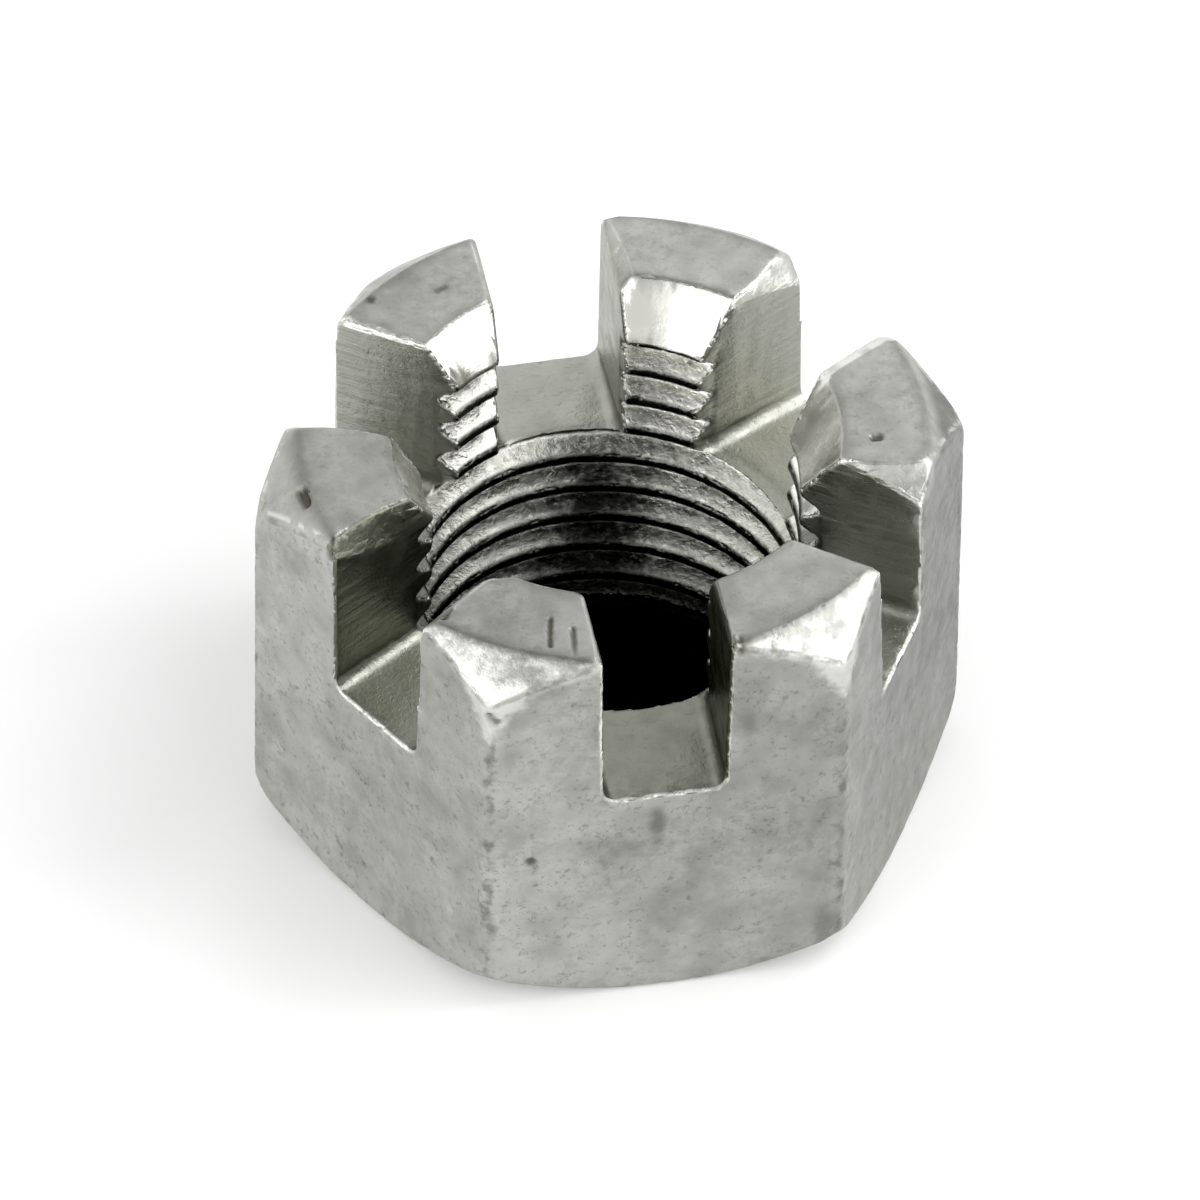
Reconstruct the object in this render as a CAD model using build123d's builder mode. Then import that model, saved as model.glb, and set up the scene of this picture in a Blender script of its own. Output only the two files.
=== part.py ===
"""Castle nut: a thick hexagon nut with six slots across the middles of its flats.

The nut stands on its bearing face with the thread axis on +Z, the origin in the middle of that face
and two of its flats square to Y. Sizes are in millimetres and angles in degrees.
"""

import os
from math import cos, radians, tan

from build123d import *

os.makedirs("parts", exist_ok=True)

# Hexagon
across_flats = 19.05
height = 14.29
upright_corner_radius = 0.5

# Turned chamfers that take the hexagon's corners off at both ends
end_face_inset = 0.1
crown_chamfer_angle = 44.0
base_chamfer_angle = 38.0

# Thread: a bore as wide as the crests leave it stands for the helix
thread_diameter = 12.7
thread_pitch = 1.27
thread_flank_angle = 30.0
thread_crest_share = 5 / 8
crest_clearance = 0.05

# Countersink at both mouths of the thread
countersink_oversize = 1.0
countersink_angle = 75.0

# Slots for the cotter pin
slot_width = 3.8
slot_depth = 6.0
slot_floor_radius = 0.4
slot_edge_break = 0.18

# Worked out from the sizes above
side_count = 6
slot_cuts = side_count // 2
outside_radius = across_flats / 2 / cos(radians(180 / side_count))
end_face_radius = across_flats / 2 - end_face_inset
crown_chamfer_drop = (outside_radius - end_face_radius) * tan(radians(crown_chamfer_angle))
base_chamfer_rise = (outside_radius - end_face_radius) * tan(radians(base_chamfer_angle))
sharp_thread_height = thread_pitch / 2 / tan(radians(thread_flank_angle))
crest_radius = thread_diameter / 2 - thread_crest_share * sharp_thread_height + crest_clearance
countersink_radius = (thread_diameter + countersink_oversize) / 2
countersink_depth = (countersink_radius - crest_radius) / tan(radians(countersink_angle / 2))


def slot_plane(angle):
    """A plane square to the slot that runs at this angle from Y, with its own y pointing down."""
    across = Vector(1, 0, 0).rotate(Axis.Z, angle)
    along = Vector(0, 1, 0).rotate(Axis.Z, angle)
    return Plane(origin=(0, 0, height), x_dir=across, z_dir=along)


with BuildPart() as castle_nut:
    with BuildSketch(Plane.XY) as hexagon:
        RegularPolygon(radius=across_flats / 2, side_count=side_count, major_radius=False)
        fillet(hexagon.vertices(), radius=upright_corner_radius)
    extrude(amount=height)

    # Both end faces keep a round outline, and each chamfer meets the flats in curves
    with BuildSketch(Plane.XZ) as turned_outline:
        with BuildLine():
            Polyline(
                (0, 0),
                (end_face_radius, 0),
                (outside_radius, base_chamfer_rise),
                (outside_radius, height - crown_chamfer_drop),
                (end_face_radius, height),
                (0, height),
                close=True,
            )
        make_face()
    revolve(axis=Axis.Z, mode=Mode.INTERSECT)

    with BuildSketch(Plane.XZ) as bore_outline:
        with BuildLine():
            Polyline(
                (0, 0),
                (countersink_radius, 0),
                (crest_radius, countersink_depth),
                (crest_radius, height - countersink_depth),
                (countersink_radius, height),
                (0, height),
                close=True,
            )
        make_face()
    revolve(axis=Axis.Z, mode=Mode.SUBTRACT)

    # Each cut makes two slots that face each other across the bore
    for cut in range(slot_cuts):
        with BuildSketch(slot_plane(cut * 180 / slot_cuts)) as slot_section:
            with BuildLine():
                Polyline(
                    (-slot_width / 2 - 2 * slot_edge_break, -slot_edge_break),
                    (-slot_width / 2, slot_edge_break),
                    (-slot_width / 2, slot_depth),
                    (slot_width / 2, slot_depth),
                    (slot_width / 2, slot_edge_break),
                    (slot_width / 2 + 2 * slot_edge_break, -slot_edge_break),
                    close=True,
                )
            make_face()
            fillet(slot_section.vertices().group_by(Axis.Y)[-1], radius=slot_floor_radius)
        extrude(amount=across_flats, both=True, mode=Mode.SUBTRACT)

castle_nut.part.label = "castle_nut"
export_step(castle_nut.part, "parts/castle_nut.step")
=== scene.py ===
import math
import time

import bmesh
import bpy
import numpy as np
from mathutils import Matrix, Vector


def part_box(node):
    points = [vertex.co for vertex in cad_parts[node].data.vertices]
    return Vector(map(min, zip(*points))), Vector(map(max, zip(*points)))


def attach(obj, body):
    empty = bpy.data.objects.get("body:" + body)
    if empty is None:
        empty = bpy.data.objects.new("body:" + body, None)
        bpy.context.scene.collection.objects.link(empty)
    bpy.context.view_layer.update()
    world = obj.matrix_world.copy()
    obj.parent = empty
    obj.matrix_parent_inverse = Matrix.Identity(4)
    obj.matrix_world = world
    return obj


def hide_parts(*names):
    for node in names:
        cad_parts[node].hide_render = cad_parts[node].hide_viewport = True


started = time.time()
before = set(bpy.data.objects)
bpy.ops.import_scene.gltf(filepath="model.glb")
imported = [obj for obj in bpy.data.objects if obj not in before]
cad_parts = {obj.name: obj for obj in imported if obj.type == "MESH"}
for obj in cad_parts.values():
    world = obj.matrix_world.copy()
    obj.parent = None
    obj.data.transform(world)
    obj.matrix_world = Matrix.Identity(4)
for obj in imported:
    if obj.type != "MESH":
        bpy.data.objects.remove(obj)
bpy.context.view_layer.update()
nutLow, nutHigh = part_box("castle_nut")
metre = 1000.0  # the nut is shaped in millimetres, and brought back to metres once it is whole

nut = {
    "acrossFlats": (nutHigh.y - nutLow.y) * metre,
    "height": (nutHigh.z - nutLow.z) * metre,
    "cornerRadius": 0.42,
    "crownCircle": 9.52,
    "crownShift": (0.05, -0.09),  # the crown was turned a little off the middle
    "crownAngle": 44.0,
    "baseCircle": 9.45,
    "baseAngle": 38.0,
    "tipRadius": 10.62,  # where a chamfer starts to round over into the upright corner
    "tipLength": 2.4,
    "boreRadius": 5.71,
    "mouth": [(7.18, -0.5), (6.85, 0.0), (5.49, 2.06)],  # radius, depth
    "mouthShift": (0.18, 0.0),  # the countersink at the top sits a little to one side
    "turnSteps": 240,
    "bendSteps": 6,
    # sharp corners cut back: the corner, azimuth and elevation of the cut, its depth, the cutter's width
    "chips": [
        ((1.45, 9.47, 14.29), 98, 42, 0.22, 3.4),
        ((1.45, 9.47, 14.29), 120, 35, 0.16, 2.0),
        ((-2.43, 9.27, 14.29), 50, 30, 0.16, 1.2),
        ((9.08, 3.05, 14.29), 70, 35, 0.26, 1.8),
        ((9.08, 3.05, 14.29), 40, 40, 0.16, 1.8),
        ((-9.15, 2.75, 14.29), 110, 35, 0.16, 1.4),
        ((-4.58, -5.07, 14.29), 84, 30, 0.28, 1.8),
    ],
}

# Where one kind of surface passes into the next: each pair has the two values that it fades between.
zones = {
    # distance from the thread's axis
    "crestShade": (5.76, 5.90),
    "mouthRim": (6.05, 6.4),
    "tapped": (6.5, 6.35),
    "plated": (6.9, 7.2),
    "chamferOut": (9.5, 9.8),
    "corner": (10.3, 10.5),
    "dirtyCorner": (10.5, 10.7),
    # height
    "lowSide": (0.0, 8.0),
    "mouthFoot": (0.9, 1.3),
    # heights where the painted shade in the bore deepens
    "boreDark": (1.4, 3.8),
    "boreDimming": (7.6, 8.6),
    "floor": (8.5, 8.8),
    "wallFoot": (8.5, 8.9),
    "crestTop": (12.0, 12.3),
    "threadTop": (12.2, 12.6),
    "top": (13.7, 14.15),
    # distance and height together
    "chamferUp": (23.4, 23.8),
    # to the right
    "farSideShade": (5.5, 7.5),
    # away from the front
    "frontTip": (-9.0, -8.0),
    "frontChamfer": (-6.0, -4.0),
    # distance from an upright corner
    "cornerLine": (0.02, 0.26),
    "besideCorner": (0.25, 0.55),
    "tip": (0.30, 0.80),
    # how far inside the flat, and how far below the chamfer
    "onFlat": (0.07, 0.12),
    "seamIn": (0.14, 0.26),
    "seamDown": (0.05, 0.12),
    "grimeStart": (0.02, 0.08),
    "grimeEnd": (0.14, 0.26),
}

# Each slot's two walls, from the slot below the camera round to the right. "wall" has the distances from
# the middle of the flat: floor inside, floor outside, top inside, top outside. "edge" is its broken top
# edge: width and drop inside, width and drop outside.
slots = {
    "depth": 5.99,
    "floorRadius": 0.38,
    "floorSteps": 5,
    "inside": 6.5,
    "outside": 9.5,
    "reach": (4.2, 5.5, 6.5, 7.1, 7.7, 8.3, 8.9, 9.5, 13.0),
    "wall": [
        (-1.95, -1.90, -2.00, -1.97), (1.90, 1.80, 1.91, 1.91),
        (-1.95, -1.90, -2.15, -2.48), (1.60, 1.48, 1.36, 1.27),
        (-1.90, -1.80, -1.93, -1.80), (2.18, 1.95, 1.92, 2.16),
        (-1.45, -1.38, -1.47, -1.43), (2.35, 2.30, 2.45, 2.45),
        (-1.70, -1.68, -1.62, -1.88), (1.95, 1.90, 2.20, 2.22),
        (-1.79, -1.60, -1.68, -1.64), (2.10, 2.10, 2.08, 2.36),
    ],
    "edge": [
        (0.12, 0.14, 0.16, 0.18), (0.06, 0.20, 0.08, 0.22),
        (0.20, 0.20, 0.20, 0.20), (0.03, 0.10, 1.10, 1.05),
        (0.40, 0.12, 0.52, 0.15), (0.05, 0.25, 0.72, 1.20),
        (0.48, 0.60, 0.06, 0.14), (0.15, 0.20, 0.22, 0.28),
        (0.05, 0.14, 0.12, 0.22), (0.18, 0.20, 1.10, 0.90),
        (0.12, 1.40, 0.28, 0.60), (0.18, 0.18, 0.40, 0.40),
    ],
    "bow": {8: 0.08, 10: 0.20},  # how far the broken edge curves out between its ends
    "bare": {3: 0.3, 4: 1.0, 5: 0.35, 8: 0.6},  # broken edges rubbed bright
    # oil on these walls, edges and floors, which also stands in as painted shade where they face into the
    # dark slots
    "oilAndShadeWalls": {1: 0.97, 3: 0.05, 10: 0.8},
    "oilAndShadeEdges": {1: 0.58, 10: 0.70},
    "oilAndShadeFloors": {0: 0.45, 3: 0.05, 5: 0.20},
}

thread = {
    "Pitch": 1.27,
    "Root Radius": 6.36,
    "Root Width": 0.13,
    "Flank Depth": 0.96,
    "Flank Width": 1.24,
    "Turns": 10.92,
    "Steps": 120,
    "Start Height": -1.04,
}

skin = {
    "Ripple Height": 0.018,
    "Ripple Size": 2.6,
    "Grain Height": 0.012,
    "Grain Size": 0.45,
    "Pit Depth": 0.05,
    "Pit Spacing": 1.3,
    "Pit Share": 0.3,
    "Pit Smallest": 0.10,
    "Pit Largest": 0.24,
    "Pit Swirl": 0.35,
    "Corner Radius": 10.62,
    "Corner Depth": 0.04,
    "Corner Size": 0.35,
    "Thread Grain": 0.05,
    "Thread Grain Size": 0.22,
    "Edge Wear": 0.8,
    "Edge Chips": 1.5,
    "Edge Size": 0.45,
    "Edge Bulge": 0.055,
    "Edge Blur": 12,
    "Tip Wear": 1.0,
    "Tip Bulge": 0.18,
    "Tip Blur": 60,
    "Seed": 7.0,
}

surface = {"step": 0.06, "quickStep": 0.09, "triangles": 190000, "sharpAngle": 40}

# where the nut was knocked: one end of the dent, the other end, its radius, its depth, how dark it is
knocks = [
    ((-9.68, -0.66, 14.15), (-9.58, -1.14, 14.15), 0.27, 0.16, 1.0),
    ((-3.21, -7.41, 14.3), (-3.42, -8.50, 14.3), 0.13, 0.07, 1.0),
    ((-2.62, -7.95, 14.3), (-2.76, -9.00, 14.2), 0.15, 0.08, 0.8),
    ((2.25, -9.20, 14.3), (2.25, -9.80, 13.8), 0.22, 0.12, 0.6),
    ((3.20, -9.50, 14.1), (3.30, -9.85, 13.8), 0.26, 0.12, 0.4),
    ((7.80, -1.51, 14.3), (8.00, -1.51, 14.3), 0.20, 0.09, 0.8),
    ((-6.14, 6.94, 14.3), (-6.10, 7.00, 14.3), 0.24, 0.03, 1.0),
    ((-4.05, 6.98, 14.3), (-3.80, 7.10, 14.3), 0.18, 0.02, 0.8),
    ((-6.33, -6.70, 14.3), (-6.20, -6.40, 14.3), 0.24, 0.14, 0.8),
    ((-5.46, -9.45, 12.50), (-5.22, -9.50, 12.24), 0.22, 0.12, 0.6),
    ((-4.16, -9.55, 6.13), (-4.10, -9.55, 6.05), 0.24, 0.07, 0.9),
    ((-2.00, -9.55, 5.75), (-1.90, -9.55, 5.65), 0.18, 0.03, 0.35),
    ((-5.37, -9.50, 3.49), (-5.30, -9.50, 3.20), 0.20, 0.06, 0.5),
]


def say(text):
    print(f"{time.time() - started:6.1f} s  {text}")


def makeNode(tree, kind, values=None, **settings):
    node = tree.nodes.new(kind)
    for name, value in settings.items():
        setattr(node, name, value)
    for key, value in (values or {}).items():
        if isinstance(value, bpy.types.NodeSocket):
            tree.links.new(value, node.inputs[key])
        else:
            node.inputs[key].default_value = value
    return node


def calc(tree, operation, *values):
    return makeNode(tree, "ShaderNodeMath", dict(enumerate(values)), operation=operation).outputs[0]


def calcVector(tree, operation, *values, output=0):
    node = makeNode(tree, "ShaderNodeVectorMath", dict(enumerate(values)), operation=operation)
    return node.outputs[output]


def product(tree, first, *others):
    for other in others:
        first = calc(tree, "MULTIPLY", first, other)
    return first


def total(tree, first, *others):
    for other in others:
        first = calc(tree, "ADD", first, other)
    return first


def flatLength(tree, vector):
    # how far a place is from the thread's axis
    return calcVector(tree, "LENGTH", calcVector(tree, "MULTIPLY", vector, (1, 1, 0)), output="Value")


def ramp(tree, value, low, high, start=0.0, end=1.0):
    # smooth step from start to end while the value goes from low to high
    values = {"Value": value, "From Min": low, "From Max": high, "To Min": start, "To Max": end}
    return makeNode(tree, "ShaderNodeMapRange", values, interpolation_type="SMOOTHSTEP").outputs[0]


def heading(azimuth, elevation):
    a, e = math.radians(azimuth), math.radians(elevation)
    return Vector((math.cos(e) * math.cos(a), math.cos(e) * math.sin(a), math.sin(e)))


def makeTree(name, inputs):
    # a Geometry Nodes tree with one named input for each value
    tree = bpy.data.node_groups.new(name, "GeometryNodeTree")
    tree.interface.new_socket("Geometry", in_out="OUTPUT", socket_type="NodeSocketGeometry")
    tree.interface.new_socket("Geometry", in_out="INPUT", socket_type="NodeSocketGeometry")
    tree.interface.new_socket("Material", in_out="INPUT", socket_type="NodeSocketMaterial")
    for label, value in inputs.items():
        kind = "NodeSocketInt" if isinstance(value, int) else "NodeSocketFloat"
        tree.interface.new_socket(label, in_out="INPUT", socket_type=kind)
    return tree, makeNode(tree, "NodeGroupInput").outputs


def endTree(tree, geometry, material):
    whole = makeNode(tree, "GeometryNodeRealizeInstances", {"Geometry": geometry}).outputs[0]
    dressed = makeNode(tree, "GeometryNodeSetMaterial", {"Geometry": whole, "Material": material})
    makeNode(tree, "NodeGroupOutput", {"Geometry": dressed.outputs[0]})
    return tree


def runTree(piece, tree, values, material):
    modifier = piece.modifiers.new(tree.name, "NODES")
    modifier.node_group = tree
    for socket in tree.interface.items_tree:
        if socket.in_out == "INPUT" and socket.name in values:
            modifier[socket.identifier] = values[socket.name]
        if socket.in_out == "INPUT" and socket.name == "Material":
            modifier[socket.identifier] = material
    settle(piece)


def place(mesh):
    piece = bpy.data.objects.new(mesh.name, mesh)
    bpy.context.scene.collection.objects.link(piece)
    return piece


def settle(piece):
    # what the modifiers make becomes the piece's own mesh
    bpy.context.view_layer.update()
    graph = bpy.context.evaluated_depsgraph_get()
    mesh = bpy.data.meshes.new_from_object(piece.evaluated_get(graph), depsgraph=graph)
    piece.modifiers.clear()
    piece.data = mesh
    return piece


def combine(piece, other, operation):
    change = piece.modifiers.new("combine", "BOOLEAN")
    change.object = other
    change.operation = operation
    change.solver = "MANIFOLD"
    settle(piece)
    bpy.data.objects.remove(other)


def skinLoops(loops):
    # skins each row of points to the next one, and each row is a closed ring
    shape = bmesh.new()
    rings = [[shape.verts.new(point) for point in loop] for loop in loops]
    count = len(rings[0])
    for lower, upper in zip(rings, rings[1:]):
        for step in range(count):
            after = (step + 1) % count
            shape.faces.new((lower[step], lower[after], upper[after], upper[step]))
    return shape, rings


def finishShape(name, shape):
    bmesh.ops.recalc_face_normals(shape, faces=shape.faces)
    mesh = bpy.data.meshes.new(name)
    shape.to_mesh(mesh)
    shape.free()
    return place(mesh)


def prism(name, loops):
    shape, rings = skinLoops(loops)
    shape.faces.new(rings[0])
    shape.faces.new(rings[-1])
    return finishShape(name, shape)


def turned(name, outline):
    angles = [math.tau * step / nut["turnSteps"] for step in range(nut["turnSteps"])]
    loops = [[(r * math.cos(a), r * math.sin(a), z) for a in angles] for r, z in outline]
    shape, _ = skinLoops(loops + loops[:1])
    bmesh.ops.remove_doubles(shape, verts=shape.verts, dist=1e-6)
    return finishShape(name, shape)


def arc(centre, radius, start, end, steps):
    turns = [math.radians(start + (end - start) * step / steps) for step in range(steps + 1)]
    return [(centre[0] + radius * math.cos(a), centre[1] + radius * math.sin(a)) for a in turns]


def chamferOutline(circle, angle, outside):
    # a straight cone that rounds over where it meets the upright corner
    slope = math.tan(math.radians(angle))
    drop = (nut["tipRadius"] - circle) * slope
    bend = (outside, drop + (outside - nut["tipRadius"]) * slope)
    end = (outside + 0.1, drop + nut["tipLength"])
    outline = [(circle, 0.0)]
    for step in range(nut["bendSteps"] + 1):
        t = step / nut["bendSteps"]
        weights = (1 - t) ** 2, 2 * t * (1 - t), t * t
        outline.append(tuple(
            weights[0] * first + weights[1] * middle + weights[2] * last
            for first, middle, last in zip((nut["tipRadius"], drop), bend, end)
        ))
    return outline


def makeBlank():
    outside = nut["acrossFlats"] / 2 / math.cos(math.radians(30))
    height = nut["height"]
    base = chamferOutline(nut["baseCircle"], nut["baseAngle"], outside)
    bore = [(outside + 0.1, height), (nut["boreRadius"], height), (nut["boreRadius"], 0.0)]
    blank = turned("castleNut", base + bore)

    # the shapes that trim the blank all reach a little way past it
    chamfer = chamferOutline(nut["crownCircle"], nut["crownAngle"], outside)
    below = chamfer[-1][1] + 0.5
    chamfer = [(1.0, 0.0), *chamfer, (outside + 1, below), (outside + 1, height + 1), (1.0, height + 1)]
    crown = turned("crown", [(r, height - z) for r, z in chamfer])
    crown.data.transform(Matrix.Translation((*nut["crownShift"], 0)))
    combine(blank, crown, "INTERSECT")

    corners = []
    reach = outside - nut["cornerRadius"] / math.cos(math.radians(30))
    for middle in range(0, 360, 60):
        centre = (reach * math.cos(math.radians(middle)), reach * math.sin(math.radians(middle)))
        corners += arc(centre, nut["cornerRadius"], middle - 30, middle + 30, nut["bendSteps"])
    bar = prism("hexagonBar", [[(x, y, z) for x, y in corners] for z in (-1, height + 1)])
    combine(blank, bar, "INTERSECT")

    mouth = nut["mouth"] + [(5.0, nut["mouth"][-1][1]), (5.0, nut["mouth"][0][1])]
    combine(blank, turned("lowerMouth", mouth), "DIFFERENCE")
    upper = turned("upperMouth", [(r, height - z) for r, z in mouth])
    upper.data.transform(Matrix.Translation((*nut["mouthShift"], 0)))
    combine(blank, upper, "DIFFERENCE")
    say("blank turned")
    return blank


def blend(inside, outside, n):
    # a value between the inner and the outer end of a slot, and on past both
    span = slots["outside"] - slots["inside"]
    return inside + (outside - inside) * (n - slots["inside"]) / span


def wallAt(row, n, z):
    # how far a slot's wall stands from the middle of the flat, at this distance out and this height
    floorIn, floorOut, topIn, topOut = slots["wall"][row]
    up = (z - nut["height"]) / slots["depth"] + 1
    return blend(floorIn, floorOut, n) * (1 - up) + blend(topIn, topOut, n) * up


def edgeAt(row, n):
    # the width and drop of the broken edge at the top of a wall
    widthIn, dropIn, widthOut, dropOut = slots["edge"][row]
    t = np.clip((n - slots["inside"]) / (slots["outside"] - slots["inside"]), 0, 1)
    width = widthIn + (widthOut - widthIn) * t ** 2.2 + 4 * slots["bow"].get(row, 0) * t * (1 - t)
    return width, dropIn + (dropOut - dropIn) * t ** 1.5


def slotSection(slot, n):
    top = nut["height"]
    floor = top - slots["depth"]
    radius = slots["floorRadius"]
    section = []
    for side, row in ((-1, 2 * slot), (1, 2 * slot + 1)):
        width, drop = edgeAt(row, n)
        centre = (wallAt(row, n, floor + radius) - side * radius, floor + radius)
        wall = arc(centre, radius, 270, 270 + 90 * side, slots["floorSteps"]) + [
            (wallAt(row, n, top - drop), top - drop),
            (wallAt(row, n, top) + side * width, top),
            (wallAt(row, n, top) + side * width, top + 1),
        ]
        section += wall if side > 0 else wall[::-1]
    return section


def cutSlots(piece):
    for slot in range(6):
        angle = math.radians(60 * slot - 90)
        out = (math.cos(angle), math.sin(angle))
        loops = [
            [(n * out[0] - s * out[1], n * out[1] + s * out[0], z) for s, z in slotSection(slot, n)]
            for n in slots["reach"]
        ]
        combine(piece, prism("slotCutter", loops), "DIFFERENCE")
    say("slots cut")


def chipCorners(piece):
    for corner, azimuth, elevation, depth, size in nut["chips"]:
        out = heading(azimuth, elevation)
        shape = bmesh.new()
        bmesh.ops.create_cube(shape, size=size)
        turn = out.to_track_quat("Z", "Y").to_matrix().to_4x4()
        where = Matrix.Translation(Vector(corner) + out * (size / 2 - depth)) @ turn
        bmesh.ops.transform(shape, matrix=where, verts=shape.verts)
        combine(piece, finishShape("chip", shape), "DIFFERENCE")


def threadTapTree():
    tree, given = makeTree("threadTap", thread)
    spiral = makeNode(tree, "GeometryNodeCurveSpiral", {
        "Resolution": given["Steps"],
        "Rotations": given["Turns"],
        "Start Radius": given["Root Radius"],
        "End Radius": given["Root Radius"],
        "Height": product(tree, given["Pitch"], given["Turns"]),
        "Reverse": True,
    }).outputs[0]
    upright = makeNode(tree, "GeometryNodeSetCurveNormal", {"Curve": spiral}, mode="Z_UP").outputs[0]
    corners = {}
    ends = [("Root", -0.5), ("Root", 0.5), ("Flank", 0.5), ("Flank", -0.5)]
    for number, (name, side) in enumerate(ends):
        height = product(tree, given[name + " Width"], side)
        point = makeNode(tree, "ShaderNodeCombineXYZ", {"Y": height})
        if name == "Flank":
            tree.links.new(product(tree, given["Flank Depth"], -1.0), point.inputs["X"])
        corners[f"Point {number + 1}"] = point.outputs[0]
    groove = makeNode(tree, "GeometryNodeCurvePrimitiveQuadrilateral", corners, mode="POINTS")
    swept = makeNode(tree, "GeometryNodeCurveToMesh", {
        "Curve": upright,
        "Profile Curve": groove.outputs[0],
        "Fill Caps": True,
    }).outputs[0]
    lift = makeNode(tree, "ShaderNodeCombineXYZ", {"Z": given["Start Height"]}).outputs[0]
    lifted = makeNode(tree, "GeometryNodeSetPosition", {"Geometry": swept, "Offset": lift}).outputs[0]
    return endTree(tree, lifted, given["Material"])


def cutThread(piece, material):
    tap = place(bpy.data.meshes.new("threadTap"))
    runTree(tap, threadTapTree(), thread, material)
    combine(piece, tap, "DIFFERENCE")
    say("thread cut")


def remesh(piece):
    change = piece.modifiers.new("remesh", "REMESH")
    change.mode = "VOXEL"
    change.voxel_size = surface["step"]
    settle(piece)
    say(f"remeshed into {len(piece.data.polygons)} faces")


def points(mesh):
    flat = np.empty(3 * len(mesh.vertices), dtype=np.float32)
    mesh.vertices.foreach_get("co", flat)
    return flat.reshape(-1, 3)


def knock(piece):
    where = points(piece.data)
    normals = np.empty(where.size, dtype=np.float32)
    piece.data.vertices.foreach_get("normal", normals)
    normals = normals.reshape(-1, 3)
    dents = np.zeros(len(where), dtype=np.float32)
    for start, end, radius, depth, darkness in knocks:
        start, end = np.array(start, dtype=np.float32), np.array(end, dtype=np.float32)
        close = np.where(np.linalg.norm(where - start, axis=1) < radius + 2.5)[0]
        along = end - start
        share = np.clip((where[close] - start) @ along / max(along @ along, 1e-9), 0, 1)
        away = np.linalg.norm(where[close] - start - share[:, None] * along, axis=1) / radius
        hollow = np.clip(1 - away ** 2, 0, 1) ** 2
        where[close] -= normals[close] * (depth * hollow)[:, None]
        dents[close] = np.maximum(dents[close], darkness * np.minimum(1, 1.6 * hollow))
    piece.data.vertices.foreach_set("co", where.ravel())
    piece.data.attributes.new("dent", "FLOAT", "POINT").data.foreach_set("value", dents)


def skinTree():
    # ripples, grain, pits and rubbed edges on the plated surface, all of them inwards
    tree, given = makeTree("nutSkin", skin)
    position = makeNode(tree, "GeometryNodeInputPosition").outputs[0]
    normal = makeNode(tree, "GeometryNodeInputNormal").outputs[0]

    def noise(size, detail, roughness=0.5):
        scale = calc(tree, "DIVIDE", 1.0, size)
        values = {"W": given["Seed"], "Scale": scale, "Detail": detail, "Roughness": roughness}
        return makeNode(tree, "ShaderNodeTexNoise", values, noise_dimensions="4D").outputs

    radius = flatLength(tree, position)
    plated = ramp(tree, radius, *zones["plated"])  # the countersink was turned smooth
    height = makeNode(tree, "ShaderNodeSeparateXYZ", {0: position}).outputs[2]
    tapped = ramp(tree, radius, *zones["tapped"])
    tapped = product(tree, tapped, ramp(tree, height, *zones["threadTop"], 1.0, 0.0))
    ripple = product(tree, noise(given["Ripple Size"], 2.0)[0], given["Ripple Height"])
    grain = product(tree, noise(given["Grain Size"], 2.0)[0], given["Grain Height"], plated)
    torn = product(tree, noise(given["Thread Grain Size"], 3.0, 0.6)[0], given["Thread Grain"], tapped)
    rough = total(tree, ripple, total(tree, grain, torn))

    swirl = calcVector(tree, "SCALE", noise(given["Grain Size"], 1.0)["Color"])
    tree.links.new(given["Pit Swirl"], swirl.node.inputs["Scale"])
    cells = makeNode(tree, "ShaderNodeTexVoronoi", {
        "Vector": calcVector(tree, "ADD", position, swirl),
        "Scale": calc(tree, "DIVIDE", 1.0, given["Pit Spacing"]),
    }).outputs
    chance = makeNode(tree, "ShaderNodeSeparateXYZ", {0: cells["Color"]}).outputs
    wide = ramp(tree, chance[1], 0.0, 1.0, given["Pit Smallest"], given["Pit Largest"])
    bowl = calc(tree, "SUBTRACT", 1.0, calc(tree, "DIVIDE", cells["Distance"], wide))
    chosen = calc(tree, "LESS_THAN", chance[0], given["Pit Share"])
    pits = product(tree, ramp(tree, bowl, 0.0, 0.9), chosen, given["Pit Depth"], plated)

    beyond = ramp(tree, calc(tree, "SUBTRACT", radius, given["Corner Radius"]), 0.0, 0.15)
    gouged = ramp(tree, noise(given["Corner Size"], 3.0, 0.65)[0], 0.42, 0.72)
    corner = product(tree, beyond, gouged, given["Corner Depth"])
    depth = total(tree, rough, total(tree, pits, corner))

    # an outside edge stands above its own blurred place, and is rubbed down towards it, tips most
    def rub(iterations):
        values = {"Value": position, "Iterations": iterations}
        blurred = makeNode(tree, "GeometryNodeBlurAttribute", values, data_type="FLOAT_VECTOR")
        move = calcVector(tree, "SUBTRACT", blurred.outputs[0], position)
        rise = calcVector(tree, "DOT_PRODUCT", move, normal, output="Value")
        return move, product(tree, rise, -1.0)

    def shifted(geometry, direction, amount):
        offset = calcVector(tree, "MULTIPLY", direction, amount)
        values = {"Geometry": geometry, "Offset": offset}
        return makeNode(tree, "GeometryNodeSetPosition", values).outputs[0]

    tipMove, tipBulge = rub(given["Tip Blur"])
    edgeMove, edgeBulge = rub(given["Edge Blur"])
    sharp = calc(tree, "DIVIDE", edgeBulge, given["Edge Bulge"])
    marked = makeNode(tree, "GeometryNodeStoreNamedAttribute", {
        "Geometry": given["Geometry"], "Name": "edge", "Value": sharp,
    }, data_type="FLOAT", domain="POINT").outputs[0]
    pressed = shifted(marked, normal, product(tree, depth, -1.0))
    blunt = ramp(tree, calc(tree, "DIVIDE", tipBulge, given["Tip Bulge"]), 1.0, 1.5)
    tipped = shifted(pressed, tipMove, product(tree, blunt, given["Tip Wear"]))
    chips = ramp(tree, noise(given["Edge Size"], 3.0)[0], 0.45, 0.7)
    wear = total(tree, given["Edge Wear"], product(tree, chips, given["Edge Chips"]))
    rubbed = shifted(tipped, edgeMove, product(tree, ramp(tree, sharp, 0.1, 0.6), wear))
    return endTree(tree, rubbed, given["Material"])


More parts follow.
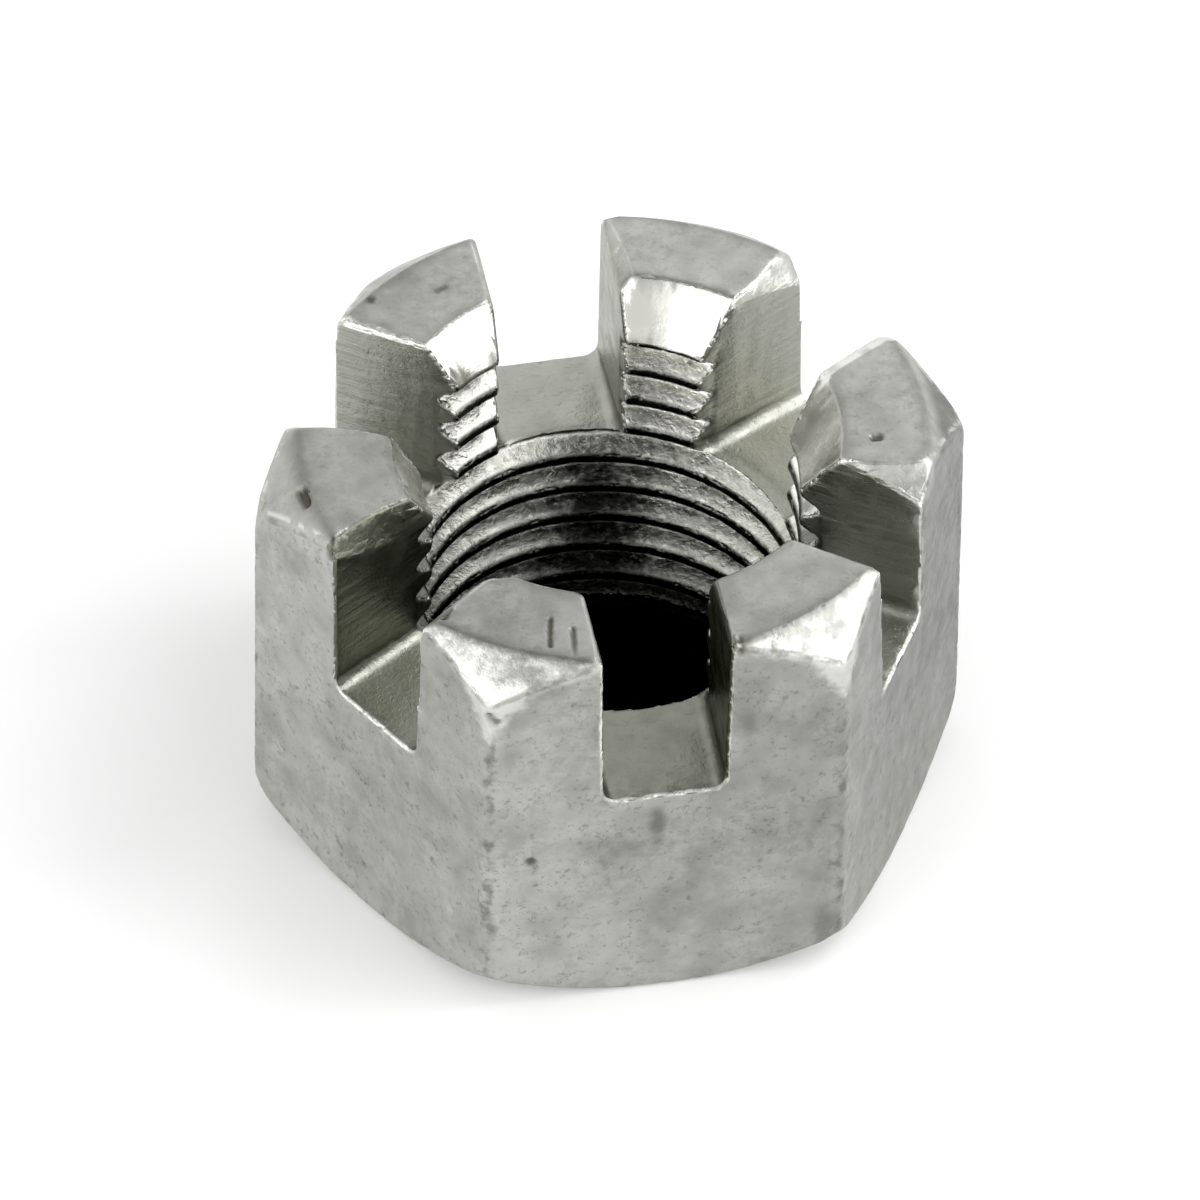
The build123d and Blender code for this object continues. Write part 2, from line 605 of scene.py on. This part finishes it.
# how far the marks of the saw and the tap reach, in millimetres
marks = {
    "sawnFrom": 4.8,
    "sawnMargin": 0.09,
    "shineFrom": 6.6,
    "shineBelow": 0.4,
    "shineBeside": 0.45,
    "edgeFrom": 6.2,
    "edgeTop": 0.02,
    "edgeFoot": 0.05,
    "edgeInside": 0.08,
    "edgeOutside": 0.1,
    "wallDepth": 0.3,
    "wallFoot": 0.8,  # in radii of the slot's floor corner
    "slotSpacing": 20,  # keeps the saw's lines in one slot unlike those in the next one
    "tapRadius": 6.6,
    "mouthFrom": 8,
    "rimWidth": 0.14,
    "rimDepth": 0.4,
}


def markSurfaces(piece):
    # what the saw and the tap cut, which edges are bare, where oil and painted shade lie, and how each
    # point lies along its slot
    mesh = piece.data
    where = points(mesh)
    sawn, bare, oilAndShade, shine = (np.zeros(len(where), dtype=np.float32) for _ in range(4))
    lie = np.zeros((len(where), 3), dtype=np.float32)
    top = nut["height"]
    floor = top - slots["depth"]
    z = where[:, 2]
    radius = np.hypot(where[:, 0], where[:, 1])
    for slot in range(6):
        angle = math.radians(60 * slot - 90)
        n = where[:, 0] * math.cos(angle) + where[:, 1] * math.sin(angle)
        s = where[:, 1] * math.cos(angle) - where[:, 0] * math.sin(angle)
        left, right = (wallAt(row, n, z) for row in (2 * slot, 2 * slot + 1))
        margin, beside = marks["sawnMargin"], marks["shineBeside"]
        inSlot = (n > marks["sawnFrom"]) & (z > floor - margin) & (s > left - margin) & (s < right + margin)
        nearSlot = (n > marks["shineFrom"]) & (z > floor - marks["shineBelow"])
        nearSlot &= (s > left - beside) & (s < right + beside)
        sawn[inSlot] = 1.0
        # oil on the slot floors, partly painted shade
        oilAndShade[inSlot] = slots["oilAndShadeFloors"].get(slot, 0)
        shine[nearSlot] = 1.0
        for side, row, wall in ((-1, 2 * slot, left), (1, 2 * slot + 1, right)):
            width, drop = edgeAt(row, n)
            out = side * (s - wall)
            broken = (top - z < drop + marks["edgeFoot"]) & (z < top - marks["edgeTop"])
            broken &= (out > -marks["edgeInside"]) & (out < width + marks["edgeOutside"])
            broken &= n > marks["edgeFrom"]
            onWall = inSlot & (np.abs(s - wall) < marks["wallDepth"])
            onWall &= z > floor + marks["wallFoot"] * slots["floorRadius"]
            bare[broken] = slots["bare"].get(row, 0)
            # oil on the walls and broken edges, partly painted shade
            oilAndShade[onWall] = slots["oilAndShadeWalls"].get(row, 0)
            oilAndShade[broken] = slots["oilAndShadeEdges"].get(row, 0)
        nearest = n > radius * math.cos(math.radians(30)) - 1e-4
        lie[nearest] = np.stack([n, s + marks["slotSpacing"] * slot, z], axis=1)[nearest]
    crown = np.hypot(where[:, 0] - nut["crownShift"][0], where[:, 1] - nut["crownShift"][1])
    mouth = np.hypot(where[:, 0] - nut["mouthShift"][0], where[:, 1] - nut["mouthShift"][1])
    mouthRadius = nut["mouth"][1][0]
    circles = np.minimum(np.abs(crown - nut["crownCircle"]), np.abs(mouth - mouthRadius))
    tapped = (mouth < mouthRadius) & (z > marks["mouthFrom"])
    tapped = (tapped | (radius < marks["tapRadius"])) & (sawn < 0.5)
    # painted shade: a thin dark line along the crown's circle and the top countersink's circle
    rimShade = np.clip(1.5 - circles / marks["rimWidth"], 0, 1) * (z > top - marks["rimDepth"])
    rimShade = rimShade * (sawn < 0.5) * (bare < 0.1)
    columns = {"sawn": sawn, "tapped": tapped, "bare": bare, "oilAndShade": oilAndShade, "shine": shine, "rimShade": rimShade}
    for name, values in columns.items():
        column = mesh.attributes.new(name, "FLOAT", "POINT")
        column.data.foreach_set("value", values.astype(np.float32))
    mesh.attributes.new("lie", "FLOAT_VECTOR", "POINT").data.foreach_set("vector", lie.ravel())
    say("surfaces marked")


def thin(piece):
    decimate = piece.modifiers.new("thin", "DECIMATE")
    decimate.ratio = surface["triangles"] / (2 * len(piece.data.polygons))
    settle(piece)
    say(f"thinned to {len(piece.data.polygons)} faces")


studio = {
    "target": (-0.24, 0.07, 7.14),
    "azimuth": -101.14,
    "elevation": 45.25,
    "roll": 0.85,
    "distance": 762.0,
    "lens": 751.4,
    "world": 1.15,
    "ceiling": 0.60,
    "overhead": (0.78, 0.92),  # how steep a direction is where the tent gets dimmer
    "flag": (-85, 74, 8, 18),  # azimuth, elevation, inner and outer size
    "floorTone": 0.83,
    # radii where the shadow painted on the floor under the bore fades out
    "floorShadow": (6.9, 8.2),
    "lit": (0, 0, 7),  # the lights all point here
    # azimuth, elevation, distance, width, height, radiance
    "lights": {
        "keyBox": (-25, 24, 500, 600, 400, 2.6),
        "fillBox": (-156, 24, 500, 500, 340, 2.0),
        "highBox": (5, 56, 500, 240, 240, 3.2),
    },
}


def aim(thing, away, distance, target, roll=0.0):
    right = Vector((0, 0, 1)).cross(away).normalized()
    up = away.cross(right)
    c, s = math.cos(math.radians(roll)), math.sin(math.radians(roll))
    right, up = right * c + up * s, up * c - right * s
    pose = Matrix((right, up, away)).transposed().to_4x4()
    pose.translation = (Vector(target) + away * distance) / metre
    thing.matrix_world = pose


def makeCamera():
    camera = bpy.data.objects.new("camera", bpy.data.cameras.new("camera"))
    bpy.context.scene.collection.objects.link(camera)
    camera.data.lens = studio["lens"]
    away = heading(studio["azimuth"], studio["elevation"])
    aim(camera, away, studio["distance"], studio["target"], studio["roll"])
    bpy.context.scene.camera = camera


def makeLight(name, azimuth, elevation, distance, width, height, radiance):
    light = bpy.data.objects.new(name, bpy.data.lights.new(name, "AREA"))
    bpy.context.scene.collection.objects.link(light)
    light.data.shape = "RECTANGLE"
    light.data.size, light.data.size_y = width / metre, height / metre
    light.data.energy = radiance * math.pi * light.data.size * light.data.size_y
    aim(light, heading(azimuth, elevation), distance, studio["lit"])


def makeWorld():
    # an even pale tent, dimmer overhead, with a small dark flag in it
    azimuth, elevation, inner, outer = studio["flag"]
    world = bpy.data.worlds.new("studio")
    bpy.context.scene.world = world
    world.use_nodes = True
    tree = world.node_tree
    sky = makeNode(tree, "ShaderNodeTexCoord").outputs["Generated"]
    near = calcVector(tree, "DOT_PRODUCT", sky, heading(azimuth, elevation), output="Value")
    flag = ramp(tree, near, math.cos(math.radians(outer)), math.cos(math.radians(inner)), 1.0, 0.0)
    up = makeNode(tree, "ShaderNodeSeparateXYZ", {0: sky}).outputs[2]
    tent = ramp(tree, up, *studio["overhead"], studio["world"], studio["ceiling"])
    background = tree.nodes["Background"]
    background.inputs["Color"].default_value = (1, 1, 1, 1)
    tree.links.new(product(tree, tent, flag), background.inputs["Strength"])


def makeFloor():
    bpy.ops.mesh.primitive_plane_add(size=4)
    floor = bpy.context.object
    floor.name = "floor"
    material = bpy.data.materials.new("paleFloor")
    material.use_nodes = True
    tree = material.node_tree
    shader = tree.nodes["Principled BSDF"]
    spot = makeNode(tree, "ShaderNodeTexCoord").outputs["Object"]
    away = calcVector(tree, "LENGTH", spot, output="Value")
    # painted shadow: the ground's colour is dark under the bore, standing in for the shade inside the nut
    inner, outer = (radius / metre for radius in studio["floorShadow"])
    tone = ramp(tree, away, inner, outer, 0.0, studio["floorTone"])
    tint = makeNode(tree, "ShaderNodeCombineColor", {0: tone, 1: tone, 2: tone}).outputs[0]
    tree.links.new(tint, shader.inputs["Base Color"])
    shader.inputs["Roughness"].default_value = 0.9
    shader.inputs["Specular IOR Level"].default_value = 0.0
    floor.data.materials.append(material)


finish = {
    "dull": (0.26, 0.263, 0.242, 1),
    "bright": (0.345, 0.348, 0.325, 1),
    "pale": (0.43, 0.433, 0.41, 1),
    "dark": (0.08, 0.08, 0.065, 1),
    "sawn": (0.35, 0.354, 0.305, 1),
    # the oil's colour, partly painted shade on the slot walls
    "oilAndShadeTone": (0.05, 0.055, 0.025, 1),
    "dirt": (0.06, 0.055, 0.035, 1),
    "tapped": (0.56, 0.56, 0.52, 1),
    "bore": (0.42, 0.425, 0.385, 1),
    # black of the painted shade deep in the bore
    "deepShade": (0.003, 0.003, 0.002, 1),
    "worn": (0.85, 0.85, 0.81, 1),
    "blotch": 0.5,
    "patch": 0.28,
    "chamfer": 0.46,
    "tip": 0.5,
    "beads": 0.45,
    "grime": 0.40,
    "floors": 0.12,
    "speck": 0.55,
    "cornerSpots": 0.55,
    "besideCorner": 0.04,
    # how strong the painted shade lines along the rims are
    "rimShade": 0.35,
    # how strong the painted shade in concave creases is
    "hollow": 0.5,
    "sawnShare": 0.75,
    "boreShare": 0.95,
    "wornShare": 0.75,
    "dentShare": 0.85,
    # painted light and shade: slopes across the sides and tops, the darker far right, the lighter right of
    # the threaded bore, the lighter foot and the lighter tops
    "lightLean": (-0.025, 0.015, 0.011),
    "farSideShade": -0.15,
    "boreLightLean": 0.10,
    "lowLightLean": 0.20,
    "topLightTone": 1.15,
    # middle, spread and strength
    "stains": [
        ((-0.24, -9.5, 7.1), (0.40, 2.0, 1.0), 0.65),
        ((-1.5, -9.5, 6.2), (1.9, 2.0, 0.9), 0.25),
        ((-0.5, -9.5, 4.0), (2.6, 2.0, 2.4), 0.14),
        ((5.0, -9.4, 1.4), (0.6, 1.4, 1.5), 0.5),
        ((3.9, -9.4, 0.4), (1.3, 1.2, 0.5), 0.4),
        ((2.5, -9.5, 10.8), (0.45, 2.0, 0.8), 0.35),
        ((-6.4, -6.6, 14.2), (0.6, 0.5, 0.4), 0.4),
    ],
    # patches of painted shade in the bore: middle, spread and strength
    "boreShades": [
        ((0.85, 6.2, 4.6), (2.3, 2.0, 4.6), 0.97),
        ((0.35, 6.3, 2.6), (3.2, 2.0, 2.0), 0.97),
        ((5.9, -1.2, 10.0), (0.8, 1.0, 2.6), 0.75),
    ],
    "wornEdge": (0.15, 0.75),
    "specks": (1.1, 0.28, 0.08, 0.22),  # how close together, share, smallest and largest
    "tipShape": (12.4, 0.58),  # the height where the chamfer's pale tip ends, and how it narrows
    "roughness": (0.30, 0.44),
    "tappedGloss": 0.14,
    "wornGloss": 0.08,
    # heights in millimetres
    "grain": 0.016,
    "dimple": 0.011,
    "sawLines": 0.095,
    "speckDepth": 0.015,
}

# Noise in the finish: its scale, detail and roughness, and the two values that it fades in between.
patterns = {
    "uneven": (1.7, 3.0, 0.6, 0.36, 0.64),
    "bareness": (1.3, 2.0, 0.5, 0.36, 0.52),
    "clouds": (0.45, 3.0, 0.5, 0.3, 0.7),
    "blotches": (3.2, 3.0, 0.6, 0.3, 0.7),
    "patches": (0.8, 4.0, 0.65, 0.44, 0.68),
    "together": (0.5, 2.0, 0.5, 0.42, 0.60),
    "spots": (2.1, 4.0, 0.65, 0.56, 0.70),
    "fine": (5.0, 3.0, 0.7, 0.54, 0.68),
    "fineTogether": (0.9, 2.0, 0.5, 0.36, 0.60),
    "cornerLine": (1.7, 3.0, 0.6, 0.38, 0.60),
    "cornerGaps": (0.9, 2.0, 0.5, 0.40, 0.55),
    "rubbed": (1.3, 4.0, 0.65, 0.42, 0.64),
    "beads": (2.2, 3.0, 0.5, 0.46, 0.58),
    "grime": (1.6, 3.0, 0.6, 0.42, 0.56),
    "gloss": (1.4, 3.0, 0.5, 0.3, 0.7),
}


def zincSteel():
    material = bpy.data.materials.new("zincSteel")
    material.use_nodes = True
    tree = material.node_tree
    shader = tree.nodes["Principled BSDF"]
    shader.inputs["Metallic"].default_value = 1.0
    values = {"Vector": makeNode(tree, "ShaderNodeTexCoord").outputs["Object"], "Scale": (metre,) * 3}
    spot = makeNode(tree, "ShaderNodeMapping", values).outputs[0]  # the place in millimetres

    def attribute(name, output="Fac"):
        return makeNode(tree, "ShaderNodeAttribute", attribute_name=name).outputs[output]

    def noise(scale, detail, roughness=0.5, vector=spot):
        values = {"Vector": vector, "Scale": scale, "Detail": detail, "Roughness": roughness}
        return makeNode(tree, "ShaderNodeTexNoise", values).outputs["Fac"]

    def fade(value, low, high, start=0.0, end=1.0):
        return ramp(tree, value, low, high, start, end)

    def pattern(name, start=0.0, end=1.0):
        *kind, low, high = patterns[name]
        return fade(noise(*kind), low, high, start, end)

    def mix(factor, first, second):
        values = {0: factor, 6: first, 7: second}
        return makeNode(tree, "ShaderNodeMix", values, data_type="RGBA").outputs[2]

    def times(*values):
        return product(tree, *values)

    def plus(*values):
        return total(tree, *values)

    def most(first, second):
        return calc(tree, "MAXIMUM", first, second)

    def minus(value, amount):
        return calc(tree, "SUBTRACT", value, amount)

    def less(value, amount):
        # what is left of the value where the amount is high
        return times(value, minus(1.0, amount))

    def scaled(tone, amount):
        result = calcVector(tree, "SCALE", tone)
        tree.links.new(amount, result.node.inputs["Scale"])
        return result

    # a soft ragged patch, used both for real stains and for patches of painted shade
    def stainAndShadePatch(middle, spread, strength):
        scale = [1 / value for value in spread]
        location = [-value * factor for value, factor in zip(middle, scale)]
        values = {"Vector": spot, "Scale": scale, "Location": location}
        near = makeNode(tree, "ShaderNodeMapping", values).outputs[0]
        away = calcVector(tree, "LENGTH", near, output="Value")
        return fade(plus(away, noise(2.5, 2.0)), 0.7, 1.5, strength, 0.0)

    edge, sawn, tapped, rimShade = (attribute(name) for name in ("edge", "sawn", "tapped", "rimShade"))
    bare, oilAndShade, dent, shine = (attribute(name) for name in ("bare", "oilAndShade", "dent", "shine"))
    across, along, height = makeNode(tree, "ShaderNodeSeparateXYZ", {0: spot}).outputs
    outward = flatLength(tree, spot)
    atTop = fade(height, *zones["top"])

    # edges are rubbed bright, but not along the rims' painted shade lines, nor where oil and painted shade
    # lie on the slot walls and edges, and less where dirt sits on the upright corners
    worn = times(fade(edge, *finish["wornEdge"]), pattern("uneven", 0.35))
    wiped = minus(1.0, calc(tree, "MINIMUM", times(oilAndShade, 1.6), 1.0))
    worn = times(less(worn, rimShade), wiped, calc(tree, "MULTIPLY_ADD", shine, 0.85, 0.15))
    worn = most(worn, times(bare, pattern("bareness", 0.4)))
    worn = less(worn, fade(outward, *zones["dirtyCorner"], 0.0, 0.7))
    # painted shade in concave creases
    hollow = fade(times(edge, -1.0), 0.2, 0.9)

    # soft clouds in the plating, finer blotches, grey patches, and dark spots that keep together
    tone = mix(pattern("clouds"), finish["dull"], finish["bright"])
    tone = mix(times(pattern("blotches"), finish["blotch"]), tone, finish["pale"])
    tone = mix(times(pattern("patches"), finish["patch"]), tone, finish["dark"])
    spots = times(pattern("spots"), pattern("together"))
    spacing, share, smallest, largest = finish["specks"]
    cells = makeNode(tree, "ShaderNodeTexVoronoi", {"Vector": spot, "Scale": spacing}).outputs
    chance = makeNode(tree, "ShaderNodeSeparateXYZ", {0: cells["Color"]}).outputs
    speck = fade(cells["Distance"], 0.0, fade(chance[1], 0.0, 1.0, smallest, largest), 1.0, 0.0)
    speck = times(speck, calc(tree, "LESS_THAN", chance[0], share), 0.8)
    fine = times(pattern("fine"), pattern("fineTogether", 0.2, 0.75))
    speck = most(most(speck, spots), fine)
    onChamfer = times(fade(outward, *zones["chamferOut"]), fade(plus(height, outward), *zones["chamferUp"]))
    speck = less(less(speck, times(atTop, 0.5)), times(onChamfer, 0.85))
    speck = times(speck, finish["speck"])
    tone = mix(speck, tone, finish["dark"])
    for row in finish["stains"]:
        tone = mix(stainAndShadePatch(*row), tone, finish["dark"])

    # painted light and shade: the sides get lighter to the left and towards the foot and darker far to the
    # right, and the tops lighter, most to the right and back, as the light falls on them
    sideAcross, topAcross, topAlong = finish["lightLean"]
    lightLean = plus(times(across, sideAcross), 1.0, fade(height, *zones["lowSide"], finish["lowLightLean"], 0.0))
    lightLean = plus(lightLean, less(fade(across, *zones["farSideShade"], 0.0, finish["farSideShade"]), sawn))
    topLightLean = plus(times(across, topAcross), times(along, topAlong), finish["topLightTone"])
    tone = scaled(tone, plus(less(lightLean, atTop), times(topLightLean, atTop)))

    # each upright corner has a ragged dark line down it, from where its distance is nought
    turn = times(calc(tree, "ARCTAN2", along, across), 6.0)
    squared = calc(tree, "DIVIDE", minus(1.0, calc(tree, "COSINE", turn)), 18.0)
    fromCorner = times(calc(tree, "SQRT", squared), outward)
    onCorner = fade(outward, *zones["corner"])
    ragged = plus(fromCorner, calc(tree, "MULTIPLY_ADD", noise(1.9, 3.0, 0.6), 1.1, -0.55))
    line = times(fade(ragged, *zones["cornerLine"], 1.0, 0.0), pattern("cornerLine"))
    line = times(line, pattern("cornerGaps", 0.35))
    beside = fade(fromCorner, *zones["besideCorner"], finish["besideCorner"], 0.0)
    tone = mix(times(beside, onCorner), tone, finish["worn"])
    tone = mix(times(line, onCorner, finish["cornerSpots"]), tone, finish["dirt"])

    # bright rubbed patches on the front of the chamfer, which runs out in a pale tip down the corner
    patches = times(onChamfer, pattern("rubbed"), fade(along, *zones["frontChamfer"], 1.0, 0.0))
    tone = mix(times(patches, finish["chamfer"]), tone, finish["worn"])
    tipHeight, tipSlope = finish["tipShape"]
    low = times(minus(tipHeight, height), tipSlope)
    tip = fade(plus(low, ragged), *zones["tip"], finish["tip"], 0.0)
    tip = times(tip, onCorner, fade(along, *zones["frontTip"], 1.0, 0.0))
    tone = mix(tip, tone, finish["worn"])

    # the chamfer's lower edge is beaded, with dirt just below it
    fromCrown = flatLength(tree, calcVector(tree, "SUBTRACT", spot, (*nut["crownShift"], 0)))
    drop = times(minus(fromCrown, nut["crownCircle"]), math.tan(math.radians(nut["crownAngle"])))
    under = minus(minus(nut["height"], drop), height)
    reach = calc(tree, "ABSOLUTE", along)
    for side in (-30, 30):
        apart = calcVector(tree, "DOT_PRODUCT", spot, heading(side, 0), output="Value")
        reach = most(reach, calc(tree, "ABSOLUTE", apart))
    inward = minus(nut["acrossFlats"] / 2, reach)
    onFlat = fade(inward, *zones["onFlat"], 1.0, 0.0)
    seam = times(fade(inward, *zones["seamIn"], 1.0, 0.0), fade(under, *zones["seamDown"], 1.0, 0.0))
    seam = times(less(seam, onFlat), pattern("beads"))
    tone = mix(times(seam, finish["beads"]), tone, finish["worn"])
    grime = times(fade(under, *zones["grimeStart"]), fade(under, *zones["grimeEnd"], 1.0, 0.0))
    grime = times(grime, onFlat, pattern("grime"))
    tone = mix(times(less(grime, sawn), finish["grime"]), tone, finish["dirt"])

    # sawn slots, pale floors, and walls darkened by oil and partly by painted shade
    tone = mix(times(sawn, finish["sawnShare"]), tone, finish["sawn"])
    tone = mix(times(sawn, fade(height, *zones["floor"], finish["floors"], 0.0)), tone, finish["worn"])
    # oil, partly painted shade on the slot walls
    tone = mix(oilAndShade, tone, finish["oilAndShadeTone"])

    # painted shade: the bore gets darker downwards, at the foot of the lower countersink, along the crests
    # and in dark patches, standing in for the shade inside the nut
    bore = mix(fade(height, *zones["boreDimming"]), finish["bore"], finish["tapped"])
    lowerMouth = fade(outward, *zones["mouthRim"], 0.0, 0.8)
    lowerMouth = times(lowerMouth, fade(height, *zones["mouthFoot"], 1.0, 0.0))
    bore = mix(most(fade(height, *zones["boreDark"]), lowerMouth), finish["deepShade"], bore)
    crestShade = times(fade(outward, *zones["crestShade"], 0.9, 0.0), fade(height, *zones["crestTop"], 1.0, 0.0))
    bore = mix(crestShade, bore, finish["deepShade"])
    aboveThread = fade(height, *zones["threadTop"])
    # painted light and shade: the threaded bore is lighter to the right and darker to the left
    bore = scaled(bore, plus(less(times(across, finish["boreLightLean"]), aboveThread), 1.0))
    for row in finish["boreShades"]:
        shadePatch = stainAndShadePatch(*row)
        bore = mix(shadePatch, bore, finish["deepShade"])
        worn = less(worn, times(shadePatch, tapped))
    tone = mix(times(tapped, finish["boreShare"]), tone, bore)

    # painted shade: concave creases are darkened
    tone = mix(times(hollow, finish["hollow"]), tone, finish["dark"])
    # painted shade lines along the rims
    tone = mix(times(rimShade, finish["rimShade"]), tone, finish["dark"])
    tone = mix(times(worn, finish["wornShare"]), tone, finish["worn"])
    tone = mix(times(dent, finish["dentShare"]), tone, finish["dirt"])
    tree.links.new(tone, shader.inputs["Base Color"])

    gloss = pattern("gloss", *finish["roughness"])
    gloss = minus(gloss, times(tapped, finish["tappedGloss"]))
    gloss = minus(gloss, times(worn, finish["wornGloss"]))
    tree.links.new(gloss, shader.inputs["Roughness"])

    # fine grain everywhere, and the saw's slanting lines on the slot walls
    values = {"Vector": attribute("lie", "Vector"), "Scale": (0.35, 1.0, 2.6)}
    values["Rotation"] = (0, math.radians(6), 0)
    streaks = makeNode(tree, "ShaderNodeMapping", values).outputs[0]
    lined = less(less(times(sawn, fade(height, *zones["wallFoot"])), bare), times(oilAndShade, 0.5))
    relief = plus(
        times(noise(7.0, 4.0, 0.65), finish["grain"]),
        times(noise(1.8, 3.0), finish["dimple"]),
        times(noise(1.0, 3.0, 0.55, streaks), lined, finish["sawLines"]),
    )
    relief = minus(relief, times(speck, finish["speckDepth"]))
    relief = less(relief, times(tapped, aboveThread, 0.7))
    bump = makeNode(tree, "ShaderNodeBump", {"Height": relief, "Distance": 0.001, "Strength": 1.0})
    tree.links.new(bump.outputs[0], shader.inputs["Normal"])
    return material


def makeNut(material):
    piece = makeBlank()
    cutSlots(piece)
    chipCorners(piece)
    cutThread(piece, material)
    remesh(piece)
    knock(piece)
    runTree(piece, skinTree(), skin, material)
    say("skin worn")
    thin(piece)
    markSurfaces(piece)
    mesh = piece.data
    mesh.transform(Matrix.Scale(1 / metre, 4))
    mesh.materials.clear()
    mesh.materials.append(material)
    mesh.shade_smooth()
    mesh.set_sharp_from_angle(angle=math.radians(surface["sharpAngle"]))
    weights = piece.modifiers.new("weights", "WEIGHTED_NORMAL")
    weights.weight = 100
    weights.keep_sharp = True
    return settle(piece)


bpy.context.scene.view_settings.view_transform = "Standard"
makeWorld()
makeCamera()
makeFloor()
for name, row in studio["lights"].items():
    makeLight(name, *row)
say("studio ready")

castleNut = makeNut(zincSteel())
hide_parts("castle_nut")
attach(castleNut, "root")
say("nut placed")
